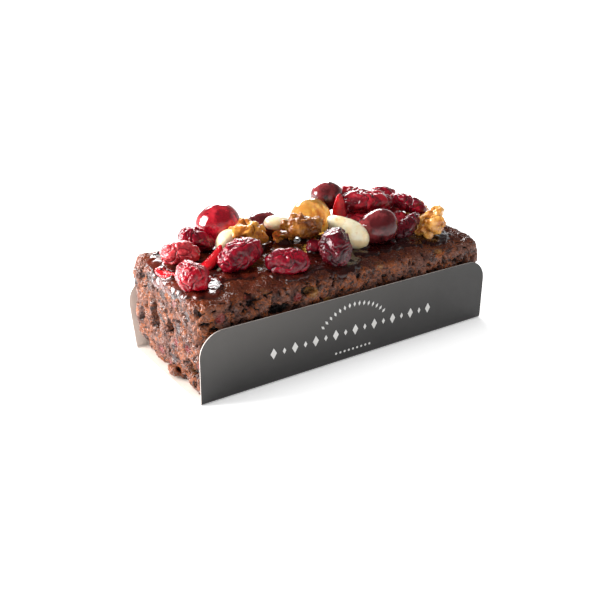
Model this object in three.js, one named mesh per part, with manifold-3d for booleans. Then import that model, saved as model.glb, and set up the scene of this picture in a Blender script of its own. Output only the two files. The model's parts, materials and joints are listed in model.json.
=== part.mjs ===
// A glazed fruit cake bar in its card sleeve, topped with a heap of dried and candied fruit and nuts.
//
// Units are millimetres. +X runs along the bar, +Y from its front to its back, and +Z is up. The origin is
// on the table, under the middle of the sleeve. The sleeve is one strip of card folded to an open-ended
// channel, the cake stands in it, and every topping is its own solid, lowered onto the heap until it rests.

import * as THREE from "three";
import { mergeVertices } from "three/addons/utils/BufferGeometryUtils.js";
import Module from "manifold-3d";

// ---- Driving dimensions --------------------------------------------------------------------------------

const CLEARANCE = 0.3; // left between a piece and what it rests on

const SLEEVE = {
  length: 160,
  width: 65, // outside, across the folds
  wall: 32, // along the slope of a wall, from the table to its top edge
  card: 0.6,
  foldRadius: 1.4, // outside
  cornerRadius: 11, // of the top corners of both walls
  frontLean: THREE.MathUtils.degToRad(1), // how far each wall leans outwards
  backLean: THREE.MathUtils.degToRad(9.5),
};

const CAKE = {
  length: 155,
  width: 60,
  height: 40.5, // at its front edge, from its own base
  taper: 1.2, // how much each side draws in from the top to the base
  crown: 2.2, // how far the middle of the top rises
  edgeRadius: 3.4,
  segments: { x: 26, y: 10, z: 7 },
};

// Lumps that stand up from the top of the cake, as [x, y, height, radius].
const TOP_LUMPS = [
  [-72, 27, 6, 9],
  [-53, 22, 4.5, 8],
  [40, 12, 1.5, 20],
];

const COLOURS = {
  card: 0x3d3b3b,
  cake: 0x5a3226,
  cranberry: 0xa3122a,
  redCherry: 0x8e1426,
  darkCherry: 0x3a0d18,
  prune: 0x2a0d14,
  goldenCherry: 0xd9a03a,
  paleNut: 0xf0d9a4,
  walnut: 0xb9772f,
};

// ---- Shared shaping helpers ----------------------------------------------------------------------------

/** A smooth uneven value between -1 and 1 for a point, from three crossed waves. */
function unevenness(x, y, z, wavelength, phase) {
  const k = (2 * Math.PI) / wavelength;
  return (
    (Math.sin(k * (x + 0.6 * y) + phase) +
      Math.sin(k * (1.3 * y - 0.5 * z) + 2.1 * phase) +
      Math.sin(k * (0.9 * z + 0.4 * x) + 3.7 * phase)) /
    3
  );
}

/** A bell-shaped bump of height 1 around zero. */
function bell(distance, radius) {
  return Math.exp(-((distance / radius) ** 2));
}

/** A copy of a geometry whose faces share their corners, so that it stays closed however it is bent. */
function welded(geometry) {
  const bare = geometry.clone();
  bare.deleteAttribute("normal");
  bare.deleteAttribute("uv");
  return mergeVertices(bare, 1e-5);
}

/** Moves every vertex of a geometry with move(point), in place. */
function reshape(geometry, move) {
  const points = geometry.getAttribute("position");
  const point = new THREE.Vector3();
  for (let i = 0; i < points.count; i++) {
    point.fromBufferAttribute(points, i);
    move(point);
    points.setXYZ(i, point.x, point.y, point.z);
  }
  geometry.computeVertexNormals();
  return geometry;
}

// ---- Card sleeve ---------------------------------------------------------------------------------------

/** The sleeve's section in the YZ plane: an upright wall on each side of a flat base, with round folds. */
function sleeveSection() {
  const { width, wall, card, foldRadius, frontLean, backLean } = SLEEVE;
  const innerRadius = foldRadius - card;
  const half = width / 2;
  const shape = new THREE.Shape();
  // The centres of the two folds, and the far ends of the walls, measured along each wall's slope.
  const rise = wall - foldRadius;
  const wallPoint = (side, lean, offset, along) =>
    new THREE.Vector2(
      side * (half - foldRadius + offset * Math.cos(lean) + along * Math.sin(lean)),
      foldRadius - offset * Math.sin(lean) + along * Math.cos(lean),
    );
  const moveTo = (p) => shape.moveTo(p.x, p.y);
  const lineTo = (p) => shape.lineTo(p.x, p.y);

  moveTo(wallPoint(-1, frontLean, foldRadius, rise));
  shape.absarc(-half + foldRadius, foldRadius, foldRadius, Math.PI + frontLean, 1.5 * Math.PI, false);
  shape.absarc(half - foldRadius, foldRadius, foldRadius, 1.5 * Math.PI, 2 * Math.PI - backLean, false);
  lineTo(wallPoint(1, backLean, foldRadius, rise));
  lineTo(wallPoint(1, backLean, innerRadius, rise));
  shape.absarc(half - foldRadius, foldRadius, innerRadius, 2 * Math.PI - backLean, 1.5 * Math.PI, true);
  shape.absarc(-half + foldRadius, foldRadius, innerRadius, 1.5 * Math.PI, Math.PI + frontLean, true);
  lineTo(wallPoint(-1, frontLean, innerRadius, rise));
  shape.closePath();
  return shape;
}

/** What is cut away to round one top corner of both walls: a square less a quarter disc, run along Y. */
function cornerCutter(end) {
  const { length, width, wall, cornerRadius } = SLEEVE;
  const margin = 4;
  const left = -cornerRadius;
  const shape = new THREE.Shape();
  shape.moveTo(left, 0);
  shape.absarc(left, -cornerRadius, cornerRadius, Math.PI / 2, 0, true);
  shape.lineTo(margin, -cornerRadius);
  shape.lineTo(margin, margin);
  shape.lineTo(left, margin);
  shape.closePath();
  const reach = width + 2 * cornerRadius;
  const geometry = new THREE.ExtrudeGeometry(shape, {
    depth: reach,
    bevelEnabled: false,
    curveSegments: 10,
  });
  // The drawing's Y becomes the sleeve's Z, and the extrusion runs along Y.
  geometry.rotateX(Math.PI / 2);
  geometry.translate(0, reach / 2, 0);
  if (end < 0) geometry.rotateZ(Math.PI);
  geometry.translate((end * length) / 2, 0, wall * Math.cos(SLEEVE.backLean / 2));
  return geometry;
}

/** A closed geometry as a manifold-3d solid. */
function solidOf(wasm, geometry) {
  const merged = welded(geometry);
  return new wasm.Manifold(
    new wasm.Mesh({
      numProp: 3,
      vertProperties: Float32Array.from(merged.getAttribute("position").array),
      triVerts: Uint32Array.from(merged.index.array),
    }),
  );
}

/** A manifold-3d solid as a three.js geometry. */
function geometryOf(solid) {
  const { vertProperties, triVerts } = solid.getMesh();
  const geometry = new THREE.BufferGeometry();
  geometry.setAttribute("position", new THREE.BufferAttribute(vertProperties, 3));
  geometry.setIndex(new THREE.BufferAttribute(triVerts, 1));
  geometry.computeVertexNormals();
  return geometry;
}

/** The folded card sleeve, with the top corners of its two walls rounded. */
function sleeveGeometry(wasm) {
  const channel = new THREE.ExtrudeGeometry(sleeveSection(), {
    depth: SLEEVE.length,
    bevelEnabled: false,
    curveSegments: 5,
  });
  // The section was drawn in X and Y: its X becomes Y, its Y becomes Z, and the extrusion runs along X.
  channel.rotateY(Math.PI / 2);
  channel.rotateX(Math.PI / 2);
  channel.translate(-SLEEVE.length / 2, 0, 0);
  let solid = solidOf(wasm, channel);
  for (const end of [-1, 1]) solid = solid.subtract(solidOf(wasm, cornerCutter(end)));
  return geometryOf(solid);
}

// ---- Cake ----------------------------------------------------------------------------------------------

/** How far the top of the cake stands above its front edge at (x, y). */
function topRise(x, y) {
  const across = Math.min(1, Math.abs(y) / (CAKE.width / 2));
  const crown = CAKE.crown * (1 - across ** 2);
  const lumps = TOP_LUMPS.reduce(
    (sum, [lumpX, lumpY, height, radius]) => sum + height * bell(Math.hypot(x - lumpX, y - lumpY), radius),
    0,
  );
  return crown + lumps + 0.5 * unevenness(x, y, 0, 23, 1.2);
}

/** The cake: a block with round edges, slightly narrower at its base, with uneven sides and top. */
function cakeGeometry() {
  const { length, width, height, taper, edgeRadius, segments } = CAKE;
  const half = new THREE.Vector3(length / 2, width / 2, height / 2);
  const block = new THREE.BoxGeometry(length, width, height, segments.x, segments.y, segments.z);
  const geometry = welded(block);
  const sideUnevenness = 0.7;

  reshape(geometry, (p) => {
    // The rows next to an edge move out to where its rounding starts.
    for (const axis of ["x", "y", "z"]) {
      const step = (2 * half[axis]) / segments[axis];
      const inner = half[axis] - step;
      if (Math.abs(p[axis]) <= inner + 1e-6) p[axis] *= (half[axis] - edgeRadius) / inner;
    }
    const core = p.clone().clamp(half.clone().subScalar(edgeRadius).negate(), half.clone().subScalar(edgeRadius));
    const outward = p.clone().sub(core).normalize();
    p.copy(core).addScaledVector(outward, edgeRadius);

    const up = (p.z + half.z) / height;
    const sideways = new THREE.Vector3(outward.x, outward.y, 0);
    const draw = -taper * (1 - up) + sideUnevenness * unevenness(p.x, p.y, p.z, 19, 0.4);
    p.addScaledVector(sideways, draw);
    p.z += topRise(p.x, p.y) * up ** 4;
  });
  geometry.translate(0, 0.4, half.z + SLEEVE.card + CLEARANCE);
  return geometry;
}

// ---- Toppings ------------------------------------------------------------------------------------------
//
// Each kind is a ball whose poles lie on its long axis, X, shaped by move(point, seed). The point has
// length 1 to start with, and afterwards the form is scaled to the piece's own length, width and height.

/** A ball with its poles on the X axis. */
function ball(around, along) {
  const geometry = new THREE.SphereGeometry(1, around, along);
  geometry.rotateZ(Math.PI / 2);
  return welded(geometry);
}

/** A candied cherry: nearly round, with a shallow pit where the stalk was. */
function cherryForm(p, seed) {
  const pit = 0.16 * bell(Math.hypot(p.y, p.z), 0.45) * (p.x > 0 ? 1 : 0.3);
  p.multiplyScalar(1 + 0.03 * unevenness(p.x, p.y, p.z, 1.9, seed));
  p.x *= 1 - pit;
}

/** A dried cranberry: long folds from end to end, one side caved in. */
function cranberryForm(p, seed) {
  const turn = Math.atan2(p.z, p.y);
  const belly = Math.hypot(p.y, p.z);
  const folds = Math.cos(5 * turn + seed) + 0.6 * Math.cos(3 * turn + 2 * seed + 2 * p.x);
  const cave = 0.22 * Math.exp(2 * (Math.cos(turn - seed) - 1)) * bell(p.x, 0.7);
  p.multiplyScalar(1 + belly * (0.075 * folds - cave) + 0.06 * unevenness(p.x, p.y, p.z, 1.4, seed));
}

/** A prune, date or raisin: plump and flattened, with a few shallow creases from end to end. */
function pruneForm(p, seed) {
  const turn = Math.atan2(p.z, p.y);
  const creases = Math.hypot(p.y, p.z) * Math.cos(3 * turn + seed + p.x);
  p.multiplyScalar(1 + 0.07 * creases + 0.05 * unevenness(p.x, p.y, p.z, 1.8, seed));
}

/** A thin curled strip of fruit, pointed at one end. */
function stripForm(p, seed) {
  const taper = 0.75 - 0.25 * p.x;
  p.y *= taper;
  p.z *= taper * (1 + 0.15 * Math.cos(4 * p.x + seed));
  p.z += 0.9 * (p.x ** 2 - 0.5);
}

/** A blanched almond: flat, round at one end and pointed at the other. */
function almondForm(p, seed) {
  const pointed = 1 - 0.28 * p.x - 0.12 * p.x ** 2;
  p.y *= pointed;
  p.z *= pointed * (1 + 0.04 * Math.cos(seed + 3 * p.x));
}

/** A skinned brazil nut: three-sided, bowed, with a ridge along its back. */
function brazilForm(p, seed) {
  const turn = Math.atan2(p.z, p.y);
  const side = 1 + 0.12 * Math.cos(3 * turn - Math.PI / 2) * Math.hypot(p.y, p.z);
  p.y *= side;
  p.z *= side;
  p.z += 0.18 * (1 - p.x ** 2) + 0.03 * Math.sin(seed + 5 * p.x);
}

/** Half a walnut kernel: two lobed halves with a deep groove between them. */
function walnutForm(p, seed) {
  const groove = 0.3 * bell(p.y, 0.2) * Math.max(0, p.z + 0.2);
  const waist = 0.14 * bell(p.x, 0.25) * Math.abs(p.y);
  const lobes = 0.13 * Math.sin(5.2 * p.x + seed) * Math.cos(4.4 * p.y + 2.6 * p.z + seed);
  p.multiplyScalar(1 - groove - waist + lobes);
}

const KINDS = {
  redCherry: { form: cherryForm, around: 12, along: 8, colour: COLOURS.redCherry },
  darkCherry: { form: cherryForm, around: 12, along: 8, colour: COLOURS.darkCherry },
  prune: { form: pruneForm, around: 12, along: 8, colour: COLOURS.prune },
  raisin: { form: pruneForm, around: 10, along: 7, colour: COLOURS.prune },
  goldenCherry: { form: cherryForm, around: 12, along: 8, colour: COLOURS.goldenCherry },
  cranberry: { form: cranberryForm, around: 12, along: 8, colour: COLOURS.cranberry },
  strip: { form: stripForm, around: 8, along: 8, colour: COLOURS.cranberry },
  almond: { form: almondForm, around: 10, along: 8, colour: COLOURS.paleNut },
  brazil: { form: brazilForm, around: 12, along: 8, colour: COLOURS.paleNut },
  walnut: { form: walnutForm, around: 14, along: 9, colour: COLOURS.walnut },
};

// Every topping in the order in which it is lowered onto the heap. A row gives its name, its kind, where it
// goes on the cake as [x, y], its size as [length, width, height], and how it lies as [yaw, pitch, roll] in
// degrees: yaw turns its long axis from +X towards +Y, pitch lifts its far end, and roll spins it.
const TOPPINGS = [
  // Along the left half.
  ["cranberry_front_left", "cranberry", [-70, -12], [15, 13.5, 12], [70, 0, 20]],
  ["cranberry_back_left", "cranberry", [-64, 12.5], [18, 13, 12], [-30, 0, 0]],
  ["strip_left_edge", "strip", [-75, 3], [13, 6, 3.5], [-70, 0, 0]],
  ["strip_left", "strip", [-52, 4], [15, 6, 4], [11, 35, 0]],
  ["cranberry_back_double", "cranberry", [-53, 22], [16, 11, 9.5], [-5, -26, 0]],
  ["cranberry_middle_left", "cranberry", [-43, -5.5], [21, 14, 12], [3, 18, 30]],
  ["cranberry_front_middle", "cranberry", [-26, -15], [19, 12, 11], [-34, 0, 60]],
  ["brazil_left", "brazil", [-41, 9.5], [16, 11.5, 12], [-20, 52, 0]],
  ["walnut_left", "walnut", [-25, 12], [17.5, 13.5, 13.5], [-30, 0, 0]],
  ["cherry_red", "redCherry", [-37, 28], [21, 21, 20], [-60, 30, 0]],
  ["cherry_dark_back", "darkCherry", [-13, 27], [16, 15.5, 15], [10, 0, 0]],
  // Along the middle.
  ["cranberry_small", "cranberry", [-5, -6.5], [9, 8, 7], [0, 0, 0]],
  ["cranberry_front", "cranberry", [-2.5, -19.5], [18.5, 15, 14], [60, 50, 0]],
  ["walnut_small", "walnut", [-9.5, 13.5], [11, 9, 8], [-34, 0, 0]],
  ["walnut_middle", "walnut", [-8.5, -1.5], [22, 14, 12], [-34, 0, 0]],
  ["almond_middle", "almond", [15, -6.5], [21, 13, 10], [-71, -32, 0]],
  ["raisin_06", "raisin", [2, 28.5], [11, 8, 7.5], [-20, 0, 0]],
  ["cherry_golden", "goldenCherry", [5.5, 13], [20.5, 20.5, 20], [40, 20, 0]],
  ["cherry_dark_front", "darkCherry", [28.7, -10.4], [17, 16, 15.5], [-30, 20, 0]],
  ["almond_back", "almond", [-12, 13.5], [14, 8, 6.5], [-34, 0, 0]],
  // Along the right half, low down.
  ["prune_front", "prune", [32, 4], [19, 12, 8.5], [-34, 0, 0]],
  ["raisin_01", "raisin", [20, 24], [13, 12, 8.5], [20, 0, 0]],
  ["raisin_02", "raisin", [34, 20], [14, 12, 8], [80, 0, 0]],
  ["raisin_03", "raisin", [48, 16], [14, 12, 8], [-10, 0, 0]],
  ["raisin_04", "raisin", [50, -1], [14, 10, 8], [30, 0, 0]],
  ["raisin_05", "raisin", [62, 18], [12, 10, 8], [-60, 0, 0]],
  ["walnut_right_back", "walnut", [66, 4.5], [13, 12, 12], [20, 0, 0]],
  ["walnut_right", "walnut", [57.5, -17.2], [18, 13, 12], [-60, 55, 0]],
  ["cranberry_right", "cranberry", [44.2, -14], [17, 9, 7.5], [3, 42, 0]],
  // Along the right half, on the fruit below.
  ["strip_upright", "strip", [22.5, 10.5], [15, 6, 4.5], [60, 78, 0]],
  ["cherry_dark_top", "darkCherry", [22, 21.5], [15.5, 15.5, 15], [0, 0, 0]],
  ["date_right", "prune", [38.5, 9.5], [23, 14, 11], [-34, 0, 0]],
  ["cranberry_top", "cranberry", [36, 20.5], [10, 7, 5.5], [-30, 0, 0]],
  ["cranberry_top_right", "cranberry", [54, 18], [13, 10, 9], [-34, 0, 0]],
  ["cranberry_long", "cranberry", [56.5, 0], [20, 9, 9], [-58, -14, 0]],
];

/** One topping's shape, at its size and turned as it lies, centred on its own middle. */
function toppingGeometry(kind, size, lie, seed) {
  const { form, around, along } = KINDS[kind];
  const geometry = reshape(ball(around, along), (p) => form(p, seed));
  geometry.computeBoundingBox();
  const middle = geometry.boundingBox.getCenter(new THREE.Vector3());
  const extent = geometry.boundingBox.getSize(new THREE.Vector3());
  const [yaw, pitch, roll] = lie.map(THREE.MathUtils.degToRad);
  geometry.translate(-middle.x, -middle.y, -middle.z);
  geometry.scale(size[0] / extent.x, size[1] / extent.y, size[2] / extent.z);
  geometry.rotateX(roll);
  geometry.rotateY(-pitch);
  geometry.rotateZ(yaw);
  geometry.computeBoundingSphere();
  return geometry;
}

/** The corners of a mesh in the frame of the whole. */
function cornersOf(mesh) {
  const points = mesh.geometry.getAttribute("position");
  return Array.from({ length: points.count }, (_, i) =>
    new THREE.Vector3().fromBufferAttribute(points, i).applyMatrix4(mesh.matrixWorld),
  );
}

/** Lowers a mesh straight down until it lies CLEARANCE above what is already there. */
function lowerOnto(placed, mesh) {
  const start = 120;
  const down = new THREE.Vector3(0, 0, -1);
  const up = new THREE.Vector3(0, 0, 1);
  mesh.position.z = start;
  mesh.updateMatrixWorld(true);
  const reach = mesh.geometry.boundingSphere.radius;
  const near = placed.filter((other) => {
    const box = new THREE.Box3().setFromObject(other).expandByScalar(reach);
    return box.containsPoint(mesh.position.clone().setZ(box.getCenter(new THREE.Vector3()).z));
  });
  const ray = new THREE.Raycaster();
  let drop = Infinity;
  const measure = (from, direction, targets) => {
    ray.set(from, direction);
    for (const hit of ray.intersectObjects(targets, false)) drop = Math.min(drop, hit.distance);
  };
  for (const corner of cornersOf(mesh)) measure(corner, down, near);
  for (const other of near) {
    for (const corner of other.userData.corners) {
      const sideways = Math.hypot(corner.x - mesh.position.x, corner.y - mesh.position.y);
      if (sideways < reach) measure(corner, up, [mesh]);
    }
  }
  mesh.position.z = start - drop + CLEARANCE;
  mesh.updateMatrixWorld(true);
  mesh.userData.corners = cornersOf(mesh);
}

// ---- The whole -----------------------------------------------------------------------------------------

/** A named mesh with a plain material of its own. */
function piece(name, geometry, colour, roughness) {
  const material = new THREE.MeshStandardMaterial({ color: colour, roughness, metalness: 0 });
  material.side = THREE.DoubleSide;
  const mesh = new THREE.Mesh(geometry, material);
  mesh.name = name;
  mesh.updateMatrixWorld(true);
  return mesh;
}

/** The sleeve, the cake in it and the heap of toppings, as one group. */
async function fruitCake() {
  const wasm = await Module();
  wasm.setup();
  const group = new THREE.Group();
  group.name = "fruit_cake";

  group.add(piece("sleeve", sleeveGeometry(wasm), COLOURS.card, 0.5));
  const cake = piece("cake", cakeGeometry(), COLOURS.cake, 0.8);
  cake.userData.corners = cornersOf(cake);
  group.add(cake);

  const placed = [cake];
  TOPPINGS.forEach(([name, kind, [x, y], size, lie], index) => {
    const mesh = piece(name, toppingGeometry(kind, size, lie, 1.7 * (index + 1)), KINDS[kind].colour, 0.25);
    mesh.position.set(x, y, 0);
    lowerOnto(placed, mesh);
    placed.push(mesh);
    group.add(mesh);
  });
  return group;
}

const group = await fruitCake();

export default group;
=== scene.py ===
"""The looks of a glazed fruit cake bar in its card sleeve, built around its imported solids.

Lengths are metres, in the frame of the solids: +X along the cake, +Y across it, +Z up, with the table at
zero. Each topping, the cake and the sleeve get a finely shaped piece in place of their plain solid.
"""

import json
import logging
import math
from contextlib import contextmanager
from dataclasses import dataclass, field
from enum import Enum
from functools import cache
from typing import Any, Callable, ClassVar, Iterator, Optional, Sequence, Union

import bmesh
import bpy
from mathutils import Matrix, Vector


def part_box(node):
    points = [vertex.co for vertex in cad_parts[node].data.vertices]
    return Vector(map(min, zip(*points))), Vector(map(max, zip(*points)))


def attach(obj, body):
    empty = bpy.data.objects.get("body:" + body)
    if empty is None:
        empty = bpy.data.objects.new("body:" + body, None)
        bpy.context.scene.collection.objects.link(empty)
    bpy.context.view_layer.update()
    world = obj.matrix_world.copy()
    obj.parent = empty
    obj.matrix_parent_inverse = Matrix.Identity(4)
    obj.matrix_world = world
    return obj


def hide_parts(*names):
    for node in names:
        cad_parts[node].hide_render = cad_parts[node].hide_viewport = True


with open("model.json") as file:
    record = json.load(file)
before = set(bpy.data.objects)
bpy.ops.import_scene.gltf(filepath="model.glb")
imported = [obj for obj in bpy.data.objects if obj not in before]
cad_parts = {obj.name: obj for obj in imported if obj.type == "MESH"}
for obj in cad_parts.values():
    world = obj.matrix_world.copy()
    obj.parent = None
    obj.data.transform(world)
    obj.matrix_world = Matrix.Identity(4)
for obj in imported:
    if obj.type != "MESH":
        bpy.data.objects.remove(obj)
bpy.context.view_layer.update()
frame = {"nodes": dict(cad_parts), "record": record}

LOG = logging.getLogger("fruit_cake")
MM = 0.001
NEAR = 1e-6
WELD = 0.002 * MM
BODY = "root"

Piece = bpy.types.Object
Socket = bpy.types.NodeSocket
Colour = tuple[float, float, float]
Place = tuple[float, float, float]
Span = tuple[float, float]
Source = Union[Socket, float, int, bool, str, Sequence[float]]


# ---- Working by hand -----------------------------------------------------------------------------------


def metres(lengths: Sequence[float]) -> tuple[float, ...]:
    """Lengths in millimetres, as metres."""
    return tuple(length * MM for length in lengths)


def select_only(*pieces: Piece) -> None:
    """Selects these pieces and nothing else, with the first one active.

    Args:
        pieces: The pieces to select.
    """
    if bpy.context.object and bpy.context.object.mode != "OBJECT":
        bpy.ops.object.mode_set(mode="OBJECT")
    bpy.ops.object.select_all(action="DESELECT")
    for piece in pieces:
        piece.select_set(True)
    if pieces:
        bpy.context.view_layer.objects.active = pieces[0]


@contextmanager
def edited(piece: Piece) -> Iterator[None]:
    """Opens a piece in edit mode, with all of it selected, and closes it again.

    Args:
        piece: The piece to edit.
    """
    select_only(piece)
    bpy.ops.object.mode_set(mode="EDIT")
    bpy.ops.mesh.select_all(action="SELECT")
    yield
    bpy.ops.object.mode_set(mode="OBJECT")


def in_scene(name: str, data: Any) -> Piece:
    """Puts a mesh, a lamp or a camera into the scene.

    Args:
        name: The new object's name.
        data: What the object holds.

    Returns:
        The new object.
    """
    made = bpy.data.objects.new(name, data)
    bpy.context.scene.collection.objects.link(made)
    return made


def new_primitive(name: str, add: Callable[..., Any], **settings: Any) -> Piece:
    """Adds a primitive and names it.

    Args:
        name: The new piece's name.
        add: The operator that adds the primitive.
        settings: The operator's own settings.

    Returns:
        The new piece.
    """
    select_only()
    add(**settings)
    piece = bpy.context.object
    piece.name = name
    piece.data.name = name
    return piece


def copy_of(piece: Piece, name: str) -> Piece:
    """A loose copy of a piece, with a mesh of its own and no material.

    Args:
        piece: The piece to copy.
        name: The copy's name.

    Returns:
        The copy, riding on nothing.
    """
    mesh = piece.data.copy()
    mesh.name = name
    mesh.materials.clear()
    return in_scene(name, mesh)


def welded_copy(node: str, name: str) -> Piece:
    """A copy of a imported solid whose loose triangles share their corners.

    Args:
        node: The solid's node.
        name: The copy's name.

    Returns:
        The welded copy.
    """
    piece = copy_of(frame["nodes"][node], name)
    with edited(piece):
        bpy.ops.mesh.remove_doubles(threshold=WELD)
        bpy.ops.mesh.faces_shade_smooth()
    if piece.data.has_custom_normals:
        bpy.ops.mesh.customdata_custom_splitnormals_clear()
    return piece


def joined(name: str, pieces: Sequence[Piece]) -> Piece:
    """Joins pieces into one.

    Args:
        name: The name of the result.
        pieces: What to join, at least two pieces.

    Returns:
        The joined piece.
    """
    select_only(*pieces)
    bpy.ops.object.join()
    piece = bpy.context.object
    piece.name = name
    piece.data.name = name
    return piece


def modify(piece: Piece, kind: str, **settings: Any) -> None:
    """Adds a modifier to a piece and applies it.

    Args:
        piece: The piece to change.
        kind: The modifier's type.
        settings: The modifier's own settings.
    """
    select_only(piece)
    modifier = piece.modifiers.new(kind.title(), kind)
    for key, value in settings.items():
        setattr(modifier, key, value)
    bpy.ops.object.modifier_apply(modifier=modifier.name)


def shape_with(piece: Piece, group: bpy.types.NodeTree, **lengths: float) -> None:
    """Shapes a piece with a geometry node group and applies the result.

    Args:
        piece: The piece to change.
        group: The geometry node group.
        lengths: Millimetres for the group's inputs, by name, with spaces as underscores.
    """
    select_only(piece)
    modifier = piece.modifiers.new(group.name, "NODES")
    modifier.node_group = group
    for item in group.interface.items_tree:
        key = item.name.lower().replace(" ", "_")
        if item.in_out == "INPUT" and key in lengths:
            modifier[item.identifier] = lengths[key] * MM
    bpy.ops.object.modifier_apply(modifier=modifier.name)


def smooth_shaded(piece: Piece, angle: Optional[float] = None) -> None:
    """Shades a piece smooth.

    Args:
        piece: The piece to shade.
        angle: Edges sharper than this, in radians, stay hard. None keeps no edge hard.
    """
    select_only(piece)
    if angle is None:
        bpy.ops.object.shade_smooth()
    else:
        bpy.ops.object.shade_smooth_by_angle(angle=angle)


def hand_in(piece: Piece, slot: str, nodes: Sequence[str], *looks: "Look") -> None:
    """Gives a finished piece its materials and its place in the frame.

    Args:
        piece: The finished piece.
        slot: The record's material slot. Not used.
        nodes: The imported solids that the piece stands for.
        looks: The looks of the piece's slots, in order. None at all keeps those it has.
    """
    if looks:
        piece.data.materials.clear()
        for look in looks:
            piece.data.materials.append(material_of(look))
    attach(piece, BODY)
    if nodes:
        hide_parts(*nodes)
    LOG.info("%s: %d faces", piece.name, len(piece.data.polygons))


# ---- Node trees ----------------------------------------------------------------------------------------


def opaque(colour: Source) -> Source:
    """A colour socket as it is, or a plain colour with a full alpha."""
    return colour if isinstance(colour, Socket) else (*colour, 1.0)


class Tree:
    """A node tree, written as nested calls that each return a socket."""

    def __init__(self, tree: bpy.types.NodeTree) -> None:
        """Wraps a node tree.

        Args:
            tree: The tree to add nodes to.
        """
        self.tree = tree

    def node(self, kind: str, inputs: Optional[dict[Any, Source]] = None, **settings: Any) -> bpy.types.Node:
        """Adds a node.

        Args:
            kind: The node's type.
            inputs: Its inputs by name or number: a socket is linked, and anything else is set.
            settings: The node's own settings.

        Returns:
            The new node.
        """
        made = self.tree.nodes.new(kind)
        for key, value in settings.items():
            setattr(made, key, value)
        for key, value in (inputs or {}).items():
            if isinstance(key, int):
                socket = made.inputs[key]
            else:
                socket = next(s for s in made.inputs if s.name == key and s.enabled)
            if isinstance(value, Socket):
                self.tree.links.new(value, socket)
            else:
                socket.default_value = value
        return made

    def math(self, operation: str, a: Source, b: Source = 0.0, clamp: bool = False) -> Socket:
        """One step of arithmetic.

        Args:
            operation: The Math node's operation.
            a: The first value.
            b: The second value.
            clamp: Whether the result is kept between 0 and 1.

        Returns:
            The result.
        """
        return self.node("ShaderNodeMath", {0: a, 1: b}, operation=operation, use_clamp=clamp).outputs[0]

    def times(self, a: Source, b: Source, plus: Source = 0.0) -> Socket:
        """The product of two values, with a third added to it.

        Args:
            a: The first value.
            b: The second value.
            plus: What is added.

        Returns:
            The result.
        """
        return self.node("ShaderNodeMath", {0: a, 1: b, 2: plus}, operation="MULTIPLY_ADD").outputs[0]

    def vector(self, operation: str, a: Source, b: Source = (0.0, 0.0, 0.0)) -> Socket:
        """One step of vector arithmetic.

        Args:
            operation: The Vector Math node's operation.
            a: The first vector.
            b: The second vector, or the factor of SCALE.

        Returns:
            The result, a vector or, for a dot product or length, a value.
        """
        second = 3 if operation == "SCALE" else 1
        made = self.node("ShaderNodeVectorMath", {0: a, second: b}, operation=operation)
        return made.outputs["Value" if operation in {"DOT_PRODUCT", "LENGTH"} else "Vector"]

    def spread(
        self, value: Source, start: Source, end: Source, low: float = 0.0, high: float = 1.0
    ) -> Socket:
        """Maps a value smoothly from one range to another, and clamps it there.

        Args:
            value: The value.
            start: Where the range starts.
            end: Where the range ends.
            low: What the start becomes.
            high: What the end becomes.

        Returns:
            The mapped value.
        """
        inputs = {"Value": value, "From Min": start, "From Max": end, "To Min": low, "To Max": high}
        made = self.node("ShaderNodeMapRange", inputs, interpolation_type="SMOOTHSTEP")
        return made.outputs["Result"]

    def noise_node(
        self, place: Source, size: Source, detail: float = 2.0, rough: float = 0.5, distort: float = 0.0
    ) -> bpy.types.Node:
        """Soft noise.

        Args:
            place: Where to read it.
            size: How large its patches are, in metres.
            detail: How many finer layers it has.
            rough: How strong the finer layers are.
            distort: How far it is swirled.

        Returns:
            The noise node, with a value and a colour.
        """
        inputs = {"Vector": place, "Scale": self.math("DIVIDE", 1.0, size), "Detail": detail}
        inputs.update({"Roughness": rough, "Distortion": distort})
        return self.node("ShaderNodeTexNoise", inputs)

    def noise(self, place: Source, size: Source, *layers: float) -> Socket:
        """The value of noise_node, between 0 and 1."""
        return self.noise_node(place, size, *layers).outputs[0]

    def ripple(self, place: Source, size: Source, *layers: float) -> Socket:
        """The value of noise_node, around 0."""
        return self.math("SUBTRACT", self.noise(place, size, *layers), 0.5)

    def creases(self, power: float, place: Source, size: Source, *layers: float) -> Socket:
        """Rounded folds of noise_node with sharp creases between them.

        Args:
            power: How narrow the creases are.
            place: Where to read the noise.
            size: How large a fold is, in metres.
            layers: The noise's other settings.

        Returns:
            1 in a crease, and falling to 0 on a fold.
        """
        waves = self.times(self.noise(place, size, *layers), 4.0, -2.0)
        off_middle = self.math("ABSOLUTE", waves, clamp=True)
        return self.math("POWER", self.math("SUBTRACT", 1.0, off_middle), power)

    def swirled(self, place: Source, size: Source, detail: float, reach: Source) -> Socket:
        """A place that is stirred by noise.

        Args:
            place: The place.
            size: How large the swirls are, in metres.
            detail: How many finer layers they have.
            reach: How far the place moves, in metres.

        Returns:
            The moved place.
        """
        colour = self.noise_node(place, size, detail).outputs["Color"]
        stir = self.vector("SUBTRACT", colour, (0.5, 0.5, 0.5))
        return self.vector("ADD", place, self.vector("SCALE", stir, reach))

    def cells(self, place: Source, size: Source, feature: str = "F1") -> bpy.types.Node:
        """Voronoi cells.

        Args:
            place: Where to read them.
            size: How large a cell is, in metres.
            feature: The Voronoi node's feature.

        Returns:
            The Voronoi node.
        """
        inputs = {"Vector": place, "Scale": self.math("DIVIDE", 1.0, size)}
        return self.node("ShaderNodeTexVoronoi", inputs, feature=feature)

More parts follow.
